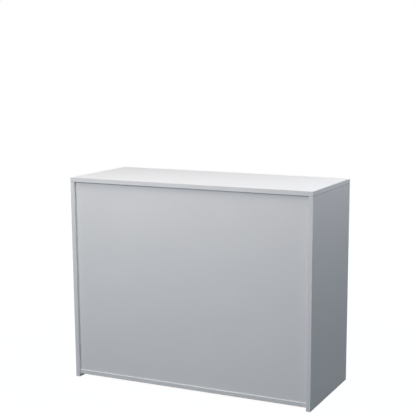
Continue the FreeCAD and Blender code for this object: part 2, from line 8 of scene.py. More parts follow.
import logging
import math
from dataclasses import dataclass, field
from enum import Enum
from typing import Mapping, Sequence, Union

import bpy
import numpy as np
from mathutils import Matrix, Vector


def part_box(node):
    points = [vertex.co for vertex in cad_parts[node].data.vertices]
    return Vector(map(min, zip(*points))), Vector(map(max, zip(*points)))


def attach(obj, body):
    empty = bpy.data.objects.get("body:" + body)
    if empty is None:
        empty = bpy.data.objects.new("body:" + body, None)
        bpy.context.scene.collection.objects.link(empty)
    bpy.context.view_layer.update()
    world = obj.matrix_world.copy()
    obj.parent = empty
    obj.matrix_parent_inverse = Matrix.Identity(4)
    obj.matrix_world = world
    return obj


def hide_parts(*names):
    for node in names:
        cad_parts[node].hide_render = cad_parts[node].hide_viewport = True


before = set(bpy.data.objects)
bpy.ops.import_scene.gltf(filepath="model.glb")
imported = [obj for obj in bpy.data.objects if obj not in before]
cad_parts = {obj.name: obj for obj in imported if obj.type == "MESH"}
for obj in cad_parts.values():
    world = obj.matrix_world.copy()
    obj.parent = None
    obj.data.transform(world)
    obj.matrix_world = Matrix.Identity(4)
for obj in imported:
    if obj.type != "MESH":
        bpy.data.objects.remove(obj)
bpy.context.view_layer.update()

LOG = logging.getLogger("counter")
MM = 0.001
WELD = 0.01 * MM
LEAST_STEP = 1e-3 * MM

Colour = tuple[float, float, float]
Value = Union["Signal", float]

BLACK: Colour = (0.0, 0.0, 0.0)
WHITE: Colour = (1.0, 1.0, 1.0)


def rgba(colour: Colour) -> tuple[float, float, float, float]:
    """A colour with full alpha, as colour sockets take it."""
    return (*colour, 1.0)


class Axis(Enum):
    """A direction of the counter's frame, numbered as a coordinate."""

    X = 0
    Y = 1
    Z = 2


class Signal:
    """An output socket of a shader. Arithmetic on signals adds Math nodes."""

    def __init__(self, graph: "Graph", socket: bpy.types.NodeSocket) -> None:
        """Keep the socket and the graph that it is part of."""
        self.graph = graph
        self.socket = socket

    def __add__(self, other: Value) -> "Signal":
        """The sum."""
        return self.graph.math("ADD", self, other)

    def __radd__(self, other: Value) -> "Signal":
        """The sum, with the signal on the right."""
        return self.graph.math("ADD", other, self)

    def __sub__(self, other: Value) -> "Signal":
        """The difference."""
        return self.graph.math("SUBTRACT", self, other)

    def __rsub__(self, other: Value) -> "Signal":
        """The difference, with the signal on the right."""
        return self.graph.math("SUBTRACT", other, self)

    def __mul__(self, other: Value) -> "Signal":
        """The product."""
        return self.graph.math("MULTIPLY", self, other)

    def __rmul__(self, other: Value) -> "Signal":
        """The product, with the signal on the right."""
        return self.graph.math("MULTIPLY", other, self)

    def __abs__(self) -> "Signal":
        """The size without its sign."""
        return self.graph.math("ABSOLUTE", self, 0.0)

    def __lt__(self, other: Value) -> "Signal":
        """One where the signal is below the other value, else zero."""
        return self.graph.math("LESS_THAN", self, other)

    def __or__(self, other: Value) -> "Signal":
        """The greater of the two, which joins masks."""
        return self.graph.math("MAXIMUM", self, other)


class Graph:
    """A shader's node tree, cleared and filled by expressions."""

    def __init__(self, tree: bpy.types.NodeTree) -> None:
        """Start from an empty tree."""
        tree.nodes.clear()
        self.tree = tree

    def node(
        self,
        kind: str,
        settings: Mapping[str, object] | None = None,
        sockets: Mapping[str | int, object] | None = None,
        output: str | int = 0,
    ) -> Signal | None:
        """Add one node.

        Args:
            kind: The node's type.
            settings: Properties of the node, set first. "stops" holds a ramp's stops.
            sockets: Values or signals for its inputs, by name or number.
            output: The output to return, by name or number.

        Returns:
            The output as a signal, or None for a node without outputs.
        """
        made = self.tree.nodes.new(kind)
        for name, value in (settings or {}).items():
            if name == "stops":
                self._set_stops(made.color_ramp, value)
            else:
                setattr(made, name, value)
        for key, value in (sockets or {}).items():
            if isinstance(value, Signal):
                self.tree.links.new(value.socket, made.inputs[key])
            else:
                made.inputs[key].default_value = value
        return Signal(self, made.outputs[output]) if made.outputs else None

    @staticmethod
    def _set_stops(ramp: bpy.types.ColorRamp, stops: Sequence[tuple[float, Colour]]) -> None:
        """Give a ramp its stops.

        Args:
            ramp: The ramp, which starts with two stops.
            stops: A position from 0 to 1 and a colour for each stop.
        """
        while len(ramp.elements) < len(stops):
            ramp.elements.new(1.0)
        for element, (position, colour) in zip(ramp.elements, stops):
            element.position = position
            element.color = rgba(colour)

    def math(self, operation: str, first: Value, second: Value) -> Signal:
        """One Math node on two values."""
        return self.node("ShaderNodeMath", {"operation": operation}, {0: first, 1: second})

    def coordinates(self) -> Signal:
        """Object coordinates, which are the counter's frame in metres."""
        return self.node("ShaderNodeTexCoord", output="Object")

    def along(self, vector: Signal, axis: Axis) -> Signal:
        """One coordinate of a vector."""
        return self.node("ShaderNodeSeparateXYZ", sockets={0: vector}, output=axis.value)

    def length(self, vector: Signal) -> Signal:
        """The length of a vector."""
        settings = {"operation": "LENGTH"}
        return self.node("ShaderNodeVectorMath", settings, {0: vector}, output="Value")

    def scaled(self, vector: Signal, factors: Sequence[float]) -> Signal:
        """A vector with each coordinate scaled by its own factor."""
        settings = {"operation": "MULTIPLY"}
        return self.node("ShaderNodeVectorMath", settings, {0: vector, 1: factors})

    def noise(self, vector: Signal, scale: float, detail: float) -> Signal:
        """Smooth noise from 0 to 1 with so many bumps in a metre."""
        sockets = {"Vector": vector, "Scale": scale, "Detail": detail}
        return self.node("ShaderNodeTexNoise", {"noise_dimensions": "3D"}, sockets)

    def cells(self, vector: Signal, scale: float) -> Signal:
        """Irregular cells, each with a random value of its own.

        Args:
            vector: The coordinates.
            scale: How many cells there are in a metre.

        Returns:
            The cell's value from 0 to 1.
        """
        sockets = {"Vector": vector, "Scale": scale}
        colour = self.node("ShaderNodeTexVoronoi", {"feature": "F1"}, sockets, "Color")
        return self.along(colour, Axis.X)

    def ramp(self, value: Signal, stops: Sequence[tuple[float, Colour]]) -> Signal:
        """A colour read from stops by a value from 0 to 1."""
        return self.node("ShaderNodeValToRGB", {"stops": stops}, {"Fac": value})

    def rise(self, value: Signal, low: float, high: float) -> Signal:
        """A smooth step.

        Args:
            value: The value that is followed.
            low: Where the step leaves 0.
            high: Where the step reaches 1.

        Returns:
            The step, from 0 to 1.
        """
        settings = {"interpolation_type": "SMOOTHSTEP"}
        sockets = {"Value": value, "From Min": low, "From Max": high}
        return self.node("ShaderNodeMapRange", settings, sockets)

    def blend(self, share: Value, first: Signal | Colour, second: Signal | Colour) -> Signal:
        """A mix of two colours.

        Args:
            share: The second colour's share, from 0 to 1.
            first: The colour at 0.
            second: The colour at 1.

        Returns:
            The mixed colour.
        """
        shades = [shade if isinstance(shade, Signal) else rgba(shade) for shade in (first, second)]
        sockets = {0: share, 6: shades[0], 7: shades[1]}
        return self.node("ShaderNodeMix", {"data_type": "RGBA"}, sockets, output=2)

    def relief(self, height: Signal, depth: float) -> Signal:
        """The normal of a surface that is raised by height times depth."""
        sockets = {"Strength": 1.0, "Distance": depth, "Height": height}
        return self.node("ShaderNodeBump", sockets=sockets)


@dataclass
class Skin:
    """What a finish gives to a surface: signals that vary, and settings that don't."""

    colour: Signal
    roughness: Signal
    height: Signal
    depth: float
    settings: dict[str, float] = field(default_factory=dict)


class Finish:
    """A surface finish. Each kind says what its skin is."""

    def skin(self, graph: Graph) -> Skin:
        """The finish's signals, made in a graph."""
        raise NotImplementedError

    def material(self, name: str) -> bpy.types.Material:
        """Make the finish into a material.

        Args:
            name: The material's name.

        Returns:
            A new material with one principled shader.
        """
        made = bpy.data.materials.new(name)
        made.use_nodes = True
        graph = Graph(made.node_tree)
        skin = self.skin(graph)
        sockets = {
            "Base Color": skin.colour,
            "Roughness": skin.roughness,
            "Normal": graph.relief(skin.height, skin.depth),
            **skin.settings,
        }
        surface = graph.node("ShaderNodeBsdfPrincipled", sockets=sockets)
        graph.node("ShaderNodeOutputMaterial", sockets={"Surface": surface})
        return made


@dataclass(frozen=True)
class MelamineBoard(Finish):
    """White pearl melamine pressed on chipboard, whose core shows in holes and raw edges.

    The layers are stacked along one axis about the middle, to half the thickness each way. The
    corner, where a board has one, is the distance from the counter's middle to the board's ends,
    towards which the paper is darkened with painted shade where it meets the sides.
    """

    layers: Axis
    middle: float
    half: float
    seam_height: float
    gloss: float
    corner: float | None = None
    white: Colour = (0.835, 0.842, 0.850)
    white_low: Colour = (0.815, 0.823, 0.833)
    drift_scale: float = 2.6
    drift_band: tuple[float, float] = (0.35, 0.7)
    pearl_scale: float = 850.0
    pearl_depth: float = 0.008 * MM
    pearl_sheen: float = 0.06
    wipe_stretch: tuple[float, float, float] = (2.0, 5.0, 14.0)
    wipe_scale: float = 1.6
    wipe_sheen: float = 0.10
    paper: float = 0.25 * MM
    chip_pale: Colour = (0.55, 0.39, 0.23)
    chip_dark: Colour = (0.24, 0.15, 0.08)
    pale_from: float = 0.45
    chip_flatness: float = 2.4
    coarse_chips: float = 260.0
    fine_chips: float = 900.0
    fine_from: float = 0.55
    fine_to: float = 0.80
    chip_relief: float = 20.0
    core_roughness: float = 0.42
    seam: Colour = (0.22, 0.224, 0.23)
    # Painted shade: the grey, share, patchiness and reach of the paper's darkening towards the
    # sides.
    painted_shade: Colour = (0.60, 0.605, 0.615)
    painted_shade_share: float = 0.5
    painted_shade_drift: float = 0.4
    painted_shade_left: float = 7.0 * MM
    painted_shade_right: float = 22.0 * MM
    ior: float = 1.45

    def _paper(self, graph: Graph, place: Signal, drift: Signal) -> Signal:
        """The paper's colour: white with a slow drift, darkened towards the corners by painted
        shade.

        Args:
            graph: The graph to work in.
            place: The coordinates.
            drift: Slow noise from 0 to 1.

        Returns:
            The colour.
        """
        white = graph.blend(graph.rise(drift, *self.drift_band), self.white_low, self.white)
        if self.corner is None:
            return white
        # Painted shade: the paper greys within 7 mm of the left end and 22 mm of the right end,
        # patchy with the drift.
        across = graph.along(place, Axis.X)
        unshaded_left = graph.rise(self.corner + across, 0.0, self.painted_shade_left)
        unshaded_right = graph.rise(self.corner - across, 0.0, self.painted_shade_right)
        patchy = 1.0 - self.painted_shade_drift / 2 + drift * self.painted_shade_drift
        corner_shade = (2.0 - unshaded_left - unshaded_right) * (self.painted_shade_share * patchy)
        return graph.blend(corner_shade, white, self.painted_shade)

    def _chip(self, graph: Graph, place: Signal, offset: Signal) -> Signal:
        """A random value for each chip: cells that lie flat in the layers, finer near the faces.

        Args:
            graph: The graph to work in.
            place: The coordinates.
            offset: The distance from the middle layer.

        Returns:
            The value from 0 to 1.
        """
        flat = [self.chip_flatness if axis is self.layers else 1.0 for axis in Axis]
        lying = graph.scaled(place, flat)
        fine = graph.rise(offset, self.half * self.fine_from, self.half * self.fine_to)
        coarse_chip = graph.cells(lying, self.coarse_chips)
        fine_chip = graph.cells(lying, self.fine_chips)
        return coarse_chip * (1.0 - fine) + fine_chip * fine

    def skin(self, graph: Graph) -> Skin:
        """White paper skin with pearl grain, over pressed chips wherever the core is cut.

        The core is every point nearer to the board's middle layer than its half thickness
        less the paper. Above the seam height the cut core is sealed in grey.

        Args:
            graph: The graph to work in.

        Returns:
            The board's skin.
        """
        place = graph.coordinates()
        offset = abs(graph.along(place, self.layers) - self.middle)
        core = offset < self.half - self.paper
        raw = graph.along(place, Axis.Z) < self.seam_height
        drift = graph.noise(place, self.drift_scale, detail=3.0)
        pearl = graph.noise(place, self.pearl_scale, detail=1.0)
        wiped = graph.noise(graph.scaled(place, self.wipe_stretch), self.wipe_scale, detail=4.0)
        paper = self._paper(graph, place, drift)
        chip = self._chip(graph, place, offset)
        stops = ((0.0, self.chip_dark), (self.pale_from, self.chip_pale), (1.0, self.chip_pale))
        chips = graph.ramp(chip, stops)
        sheen = self.gloss + (wiped - 0.5) * self.wipe_sheen + (pearl - 0.5) * self.pearl_sheen
        return Skin(
            colour=graph.blend(core, paper, graph.blend(raw, self.seam, chips)),
            roughness=sheen + core * self.core_roughness,
            height=pearl + core * (chip * self.chip_relief),
            depth=self.pearl_depth,
            settings={"IOR": self.ior},
        )


@dataclass(frozen=True)
class EdgeTape(Finish):
    """White plastic edge tape: smoother than the board, with scraper lines along its run."""

    run: Axis
    white: Colour = (0.832, 0.838, 0.846)
    white_low: Colour = (0.800, 0.808, 0.818)
    drift_scale: float = 7.0
    drift_band: tuple[float, float] = (0.3, 0.7)
    gloss: float = 0.36
    line_sheen: float = 0.12
    lines_along: float = 6.0
    lines_across: float = 900.0
    line_depth: float = 0.004 * MM
    ior: float = 1.45

    def skin(self, graph: Graph) -> Skin:
        """Fine lines drawn out along the tape, over a slow drift of its white.

        Args:
            graph: The graph to work in.

        Returns:
            The tape's skin.
        """
        place = graph.coordinates()
        drawn = [self.lines_along if axis is self.run else self.lines_across for axis in Axis]
        lines = graph.noise(graph.scaled(place, drawn), scale=1.0, detail=3.0)
        drift = graph.noise(place, self.drift_scale, detail=2.0)
        return Skin(
            colour=graph.blend(graph.rise(drift, *self.drift_band), self.white_low, self.white),
            roughness=self.gloss + (lines - 0.5) * self.line_sheen,
            height=lines,
            depth=self.line_depth,
            settings={"IOR": self.ior},
        )


@dataclass(frozen=True)
class Metal(Finish):
    """A metal with a grain of its own: cast, plated or polished."""

    pale: Colour
    dull: Colour
    gloss: float
    grain_scale: float
    grain_depth: float
    grain_sheen: float = 0.2
    cloud_scale: float = 60.0

    def skin(self, graph: Graph) -> Skin:
        """Grain that roughens the metal, and clouds that tint it.

        Args:
            graph: The graph to work in.

        Returns:
            The metal's skin.
        """
        place = graph.coordinates()
        grain = graph.noise(place, self.grain_scale, detail=4.0)
        cloud = graph.noise(place, self.cloud_scale, detail=2.0)
        return Skin(
            colour=graph.blend(cloud, self.dull, self.pale),
            roughness=self.gloss + (grain - 0.5) * self.grain_sheen,
            height=grain,
            depth=self.grain_depth,
            settings={"Metallic": 1.0},
        )


@dataclass(frozen=True)
class MouldedPlastic(Finish):
    """Plastic from a spark-etched mould, matt and a little uneven in tone."""

    tone: Colour
    tone_low: Colour
    gloss: float
    flow_scale: float = 45.0
    flow_band: tuple[float, float] = (0.3, 0.7)
    etch_scale: float = 1800.0
    etch_depth: float = 0.012 * MM
    etch_sheen: float = 0.14

    def skin(self, graph: Graph) -> Skin:
        """Even etched grain, with a slow flow pattern in the tone.

        Args:
            graph: The graph to work in.

        Returns:
            The plastic's skin.
        """
        place = graph.coordinates()
        etch = graph.noise(place, self.etch_scale, detail=2.0)
        flow = graph.noise(place, self.flow_scale, detail=3.0)
        return Skin(
            colour=graph.blend(graph.rise(flow, *self.flow_band), self.tone_low, self.tone),
            roughness=self.gloss + (etch - 0.5) * self.etch_sheen,
            height=etch,
            depth=self.etch_depth,
        )


@dataclass(frozen=True)
class DowelBeech(Finish):
    """Beech of the wooden dowels, with short dark pores."""

    pale: Colour = (0.62, 0.43, 0.26)
    dark: Colour = (0.42, 0.26, 0.14)
    growth_stretch: tuple[float, float, float] = (1.0, 1.0, 0.3)
    growth_scale: float = 380.0
    growth_band: tuple[float, float] = (0.3, 0.7)
    pore_scale: float = 2200.0
    pore_depth: float = 0.05 * MM
    pore_sheen: float = 0.2
    gloss: float = 0.62

    def skin(self, graph: Graph) -> Skin:
        """Flecked pores over bands of growth.

        Args:
            graph: The graph to work in.

        Returns:
            The wood's skin.
        """
        place = graph.coordinates()
        stretched = graph.scaled(place, self.growth_stretch)
        growth = graph.noise(stretched, self.growth_scale, detail=3.0)
        pores = graph.noise(place, self.pore_scale, detail=1.0)
        return Skin(
            colour=graph.blend(graph.rise(growth, *self.growth_band), self.pale, self.dark),
            roughness=self.gloss + (pores - 0.5) * self.pore_sheen,
            height=pores,
            depth=self.pore_depth,
        )


CAST_ZINC = Metal((0.58, 0.59, 0.60), (0.46, 0.47, 0.49), 0.46, 700.0, 0.03 * MM)
PLATED_STEEL = Metal((0.74, 0.75, 0.77), (0.62, 0.63, 0.66), 0.30, 1400.0, 0.008 * MM)
NICKEL = Metal((0.78, 0.75, 0.70), (0.69, 0.66, 0.61), 0.24, 1600.0, 0.006 * MM)
CAP_PLASTIC = MouldedPlastic((0.80, 0.81, 0.82), (0.76, 0.77, 0.785), 0.42)
GLIDE_PLASTIC = MouldedPlastic((0.64, 0.645, 0.65), (0.58, 0.585, 0.59), 0.50)
FOOT_PLASTIC = MouldedPlastic((0.035, 0.036, 0.038), (0.026, 0.027, 0.029), 0.48)


def dress(finish: Finish, name: str, nodes: Sequence[str]) -> None:
    """Give solids of the frame one finish.

    Args:
        finish: The finish.
        name: The material's name.
        nodes: The solids, by their names in the frame.
    """
    material = finish.material(name)
    for node in nodes:
        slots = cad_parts[node].material_slots
        for slot in slots:
            slot.material = material
        LOG.info("%s wears %s in %d slots", node, name, len(slots))


def islands(node: str) -> list[np.ndarray]:
    """Split a solid of the frame into its separate lumps.

    Points that coincide are welded by rounding, then every triangle hands its lowest label
    to its corners until no label changes.

    Args:
        node: The solid's name in the frame.

    Returns:
        The points of each lump.
    """
    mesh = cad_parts[node].data
    mesh.calc_loop_triangles()
    points = np.empty(len(mesh.vertices) * 3)
    mesh.vertices.foreach_get("co", points)
    points = points.reshape(-1, 3)
    triangles = np.empty(len(mesh.loop_triangles) * 3, dtype=np.int32)
    mesh.loop_triangles.foreach_get("vertices", triangles)
    rounded = np.round(points / WELD).astype(np.int64)
    _, welded = np.unique(rounded, axis=0, return_inverse=True)
    welded = welded.reshape(-1)
    triangles = welded[triangles].reshape(-1, 3)
    labels = np.arange(welded.max() + 1)
    while True:
        lowest = labels.copy()
        np.minimum.at(lowest, triangles.ravel(), np.repeat(labels[triangles].min(axis=1), 3))
        lowest = lowest[lowest]
        if np.array_equal(lowest, labels):
            break
        labels = lowest
    owner = labels[welded]
    return [points[owner == label] for label in np.unique(owner)]


@dataclass(frozen=True)
class Seat:
    """Where a repeated fitting sits: a point and its own three directions as rows."""

    point: np.ndarray
    ways: np.ndarray

    def placed(self, points: np.ndarray) -> np.ndarray:
        """Points of the fitting's own frame, carried to the counter's frame."""
        return self.point + points @ self.ways


class Shells:
    """Closed shells, each a stack of rings between two poles, gathered into one mesh."""

    def __init__(self) -> None:
        """Start with no shell."""
        self._points: list[np.ndarray] = []
        self._quads: list[np.ndarray] = []
        self._fans: list[np.ndarray] = []
        self._count = 0

    def add(self, rings: np.ndarray, seat: Seat) -> None:
        """Add one shell.

        Ring i and point j of it make the quad (i, j), (i, j+1), (i+1, j+1), (i+1, j), with j
        running round. Each end is closed by a fan to the mean of its ring.

        Args:
            rings: Points as rings by points by three, counter-clockwise about the stack.
            seat: Where the shell goes.
        """
        stack, around, _ = rings.shape
        here = np.arange(stack * around).reshape(stack, around) + self._count
        after = np.roll(here, -1, axis=1)
        quads = np.stack([here[:-1], after[:-1], after[1:], here[1:]], axis=-1)
        self._quads.append(quads.reshape(-1, 4))
        first = self._count + stack * around
        low = np.stack([after[0], here[0], np.full(around, first)], axis=-1)
        high = np.stack([here[-1], after[-1], np.full(around, first + 1)], axis=-1)
        self._fans.append(np.concatenate([low, high]))
        ends = np.stack([rings[0].mean(axis=0), rings[-1].mean(axis=0)])
        self._points.append(seat.placed(np.concatenate([rings.reshape(-1, 3), ends])))
        self._count = first + 2

    def piece(self, name: str, finish: Finish, crease: float = 38.0) -> bpy.types.Object:
        """Make the shells into a piece.

        Args:
            name: The piece's name.
            finish: Its finish.
            crease: The angle in degrees past which an edge stays sharp.

        Returns:
            The piece, at the origin.
        """
        faces = np.concatenate(self._quads).tolist() + np.concatenate(self._fans).tolist()
        mesh = bpy.data.meshes.new(name)
        mesh.from_pydata(np.concatenate(self._points), [], faces)
        mesh.polygons.foreach_set("use_smooth", np.ones(len(mesh.polygons), dtype=bool))
        mesh.set_sharp_from_angle(angle=math.radians(crease))
        mesh.materials.append(finish.material(name))
        mesh.validate()
        made = bpy.data.objects.new(name, mesh)
        bpy.context.scene.collection.objects.link(made)
        LOG.info("%s has %d faces", name, len(mesh.polygons))
        return made


def angles(count: int) -> np.ndarray:
    """Evenly spaced angles round a turn."""
    return np.linspace(0.0, 2.0 * math.pi, count, endpoint=False)


def turned(radius: np.ndarray, height: np.ndarray, around: np.ndarray) -> np.ndarray:
    """Rings of a turned shape: (r cos a, r sin a, h), where r and h may vary round the turn.

    Args:
        radius: Radii, as a column for each ring or as rings by angles.
        height: Heights in the same form.
        around: The angles a.

    Returns:
        Points as rings by angles by three.
    """
    across, up, turn = np.broadcast_arrays(radius, height, around[None, :])
    return np.stack([across * np.cos(turn), across * np.sin(turn), up], axis=-1)


def rounded_profile(
    corner_points: Sequence[tuple[float, float, float]], steps: int = 5
) -> np.ndarray:
    """A profile with rounded corners: each is cut back and bridged by a quadratic curve.

    The curve is (1-t)^2 a + 2t(1-t) c + t^2 b, from a point before the corner c to one after it.

    Args:
        corner_points: Radius, height and cut-back of each corner, in millimetres.
        steps: Points on each curve.

    Returns:
        Points of (radius, height) in metres.
    """
    table = np.array(corner_points) * MM
    point, cut = table[:, :2], table[:, 2:]
    before = point - np.roll(point, 1, axis=0)
    after = np.roll(point, -1, axis=0) - point
    before[0], after[-1] = after[0], before[-1]
    before /= np.linalg.norm(before, axis=1, keepdims=True)
    after /= np.linalg.norm(after, axis=1, keepdims=True)
    start, end = point - before * cut, point + after * cut
    t = np.linspace(0.0, 1.0, steps)[None, :, None]
    curve = (1 - t) ** 2 * start[:, None] + 2 * t * (1 - t) * point[:, None] + t**2 * end[:, None]
    flat = curve.reshape(-1, 2)
    keep = np.ones(len(flat), dtype=bool)
    keep[1:] = np.linalg.norm(np.diff(flat, axis=0), axis=1) > LEAST_STEP
    return flat[keep]


@dataclass
class Boards:
    """The eight boards, each with the axis along which its layers are stacked."""

    layers: dict[str, Axis] = field(
        default_factory=lambda: {
            "top_panel": Axis.Z,
            "base_panel": Axis.Z,
            "left_shelf": Axis.Z,
            "right_shelf": Axis.Z,
            "front_panel": Axis.Y,
            "left_side_panel": Axis.X,
            "right_side_panel": Axis.X,
            "centre_upright": Axis.X,
        }
    )
    worktop: str = "top_panel"
    # The board whose paper gets painted shade towards its ends, against the sides.
    shaded_at_ends: str = "front_panel"
    gloss: float = 0.50
    worktop_gloss: float = 0.60
    seam_reach: float = 1.0 * MM

    def dress(self) -> None:
        """Give every board its melamine, set to its own middle layer."""
        for node, axis in self.layers.items():
            low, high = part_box(node)
            finish = MelamineBoard(
                layers=axis,
                middle=(low[axis.value] + high[axis.value]) / 2,
                half=(high[axis.value] - low[axis.value]) / 2,
                seam_height=high[Axis.Z.value] - self.seam_reach,
                gloss=self.worktop_gloss if node == self.worktop else self.gloss,
                corner=high[Axis.X.value] if node == self.shaded_at_ends else None,
            )
            dress(finish, f"{node}_melamine", [node])


@dataclass
class EdgeTapes:
    """Tapes on the boards' edges, by the direction in which they run."""

    level: tuple[str, ...] = (
        "top_edge_tape",
        "base_edge_tape",
        "left_shelf_edge_tape",
        "right_shelf_edge_tape",
    )
    upright: tuple[str, ...] = (
        "left_side_edge_tape",
        "right_side_edge_tape",
        "upright_edge_tape",
    )

    def dress(self) -> None:
        """Give the tapes their plastic, drawn along their run."""
        dress(EdgeTape(Axis.X), "level_tape", self.level)
        dress(EdgeTape(Axis.Z), "upright_tape", self.upright)


@dataclass
class BoardFittings:
    """Cam locks, cam bolts, dowels, screws and glides, mostly hidden in the boards."""

    locks: tuple[str, ...] = ("top_cam_locks", "front_cam_locks", "base_cam_locks")
    bolts: tuple[str, ...] = ("top_cam_bolts", "front_cam_bolts", "base_cam_bolts")
    screws: tuple[str, ...] = ("base_screws", "glide_nails")
    dowels: tuple[str, ...] = ("top_dowels", "front_dowels", "base_dowels")
    glides: tuple[str, ...] = ("floor_glides",)

    def dress(self) -> None:
        """Give the fittings their metals, wood and plastic."""
        dress(CAST_ZINC, "cast_zinc", self.locks)
        dress(PLATED_STEEL, "plated_steel", self.bolts + self.screws)
        dress(DowelBeech(), "beech", self.dowels)
        dress(GLIDE_PLASTIC, "glide_plastic", self.glides)


@dataclass
class CoverCaps:
    """Domed plastic caps over the cam locks, each with a notch in its rim to lift it by.

    The ring shares are the parts of the radius at which the top's rings lie, from the rim in.
    """

    radius: float = 8.7 * MM
    crown: float = 1.1 * MM
    rim: float = 0.62 * MM
    roll: float = 0.3 * MM
    roll_from: float = 0.93
    gate_depth: float = 0.10 * MM
    gate_share: float = 0.11
    stem_radius: float = 0.6 * MM
    stem_depth: float = 2.2 * MM
    pole_share: float = 0.02
    notch: float = 1.3 * MM
    notch_angle: float = 0.16
    notch_fade: int = 6
    ring_shares: tuple[float, ...] = (
        1.0, 0.995, 0.97, 0.93, 0.86, 0.75, 0.6, 0.45, 0.3, 0.18, 0.1, 0.05, 0.02,
    )
    around: int = 64
    disc_reach: float = 4.0 * MM

    def _rings(self) -> np.ndarray:
        """A cap about its own Z, sitting on the plane of zero height.

        At the share s = r / R its top is a shallow dome, crown - (crown - rim) s^2. A gate mark
        in the middle takes off depth exp(-(s / k)^4), and the rim rolls over as a cube. The rim
        is drawn in by notch exp(-(a / w)^2), which fades inwards as s^6.

        Returns:
            Points as rings by angles by three.
        """
        share = np.array(self.ring_shares)
        dome = self.crown - (self.crown - self.rim) * share**2
        past = np.clip((share - self.roll_from) / (1.0 - self.roll_from), 0.0, 1.0)
        gate = self.gate_depth * np.exp(-((share / self.gate_share) ** 4))
        top = dome - self.roll * past**3 - gate
        stem_radius = np.array([self.pole_share, 1.0, 1.0]) * self.stem_radius
        stem_height = [-self.stem_depth, -self.stem_depth, 0.0]
        radius = np.concatenate([stem_radius, [self.radius], share * self.radius])
        height = np.concatenate([stem_height, [0.0], top])
        around = angles(self.around)
        turn = np.minimum(around, 2.0 * math.pi - around)
        drawn_in = self.notch * np.exp(-((turn / self.notch_angle) ** 2))
        reach = np.clip(radius / self.radius, 0.0, 1.0)[:, None] ** self.notch_fade
        return turned(radius[:, None] - reach * drawn_in, height[:, None], around)

    def _seat(self, lump: np.ndarray) -> Seat:
        """Where a cap sits, from its plain solid.

        Args:
            lump: The solid's points. It is thin along its axis, and its disc is outermost.

        Returns:
            The seat, with the notch downwards.
        """
        low, high = lump.min(axis=0), lump.max(axis=0)
        axis = int(np.argmin(high - low))
        middle = (low + high) / 2
        off_axis = np.delete(lump - middle, axis, axis=1)
        disc = lump[np.linalg.norm(off_axis, axis=1) > self.disc_reach][:, axis]
        sign = 1.0 if disc.mean() > middle[axis] else -1.0
        out = np.zeros(3)
        out[axis] = sign
        down = np.array([0.0, 0.0, -1.0])
        middle[axis] = disc.min() if sign > 0 else disc.max()
        return Seat(middle, np.stack([down, np.cross(out, down), out]))

    def build(self) -> None:
        """Put a domed cap at every plain one."""
        shells = Shells()
        rings = self._rings()
        for lump in islands("cam_cover_caps"):
            shells.add(rings, self._seat(lump))
        piece = shells.piece("domed_cover_caps", CAP_PLASTIC)
        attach(piece, "counter")
        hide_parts("cam_cover_caps")


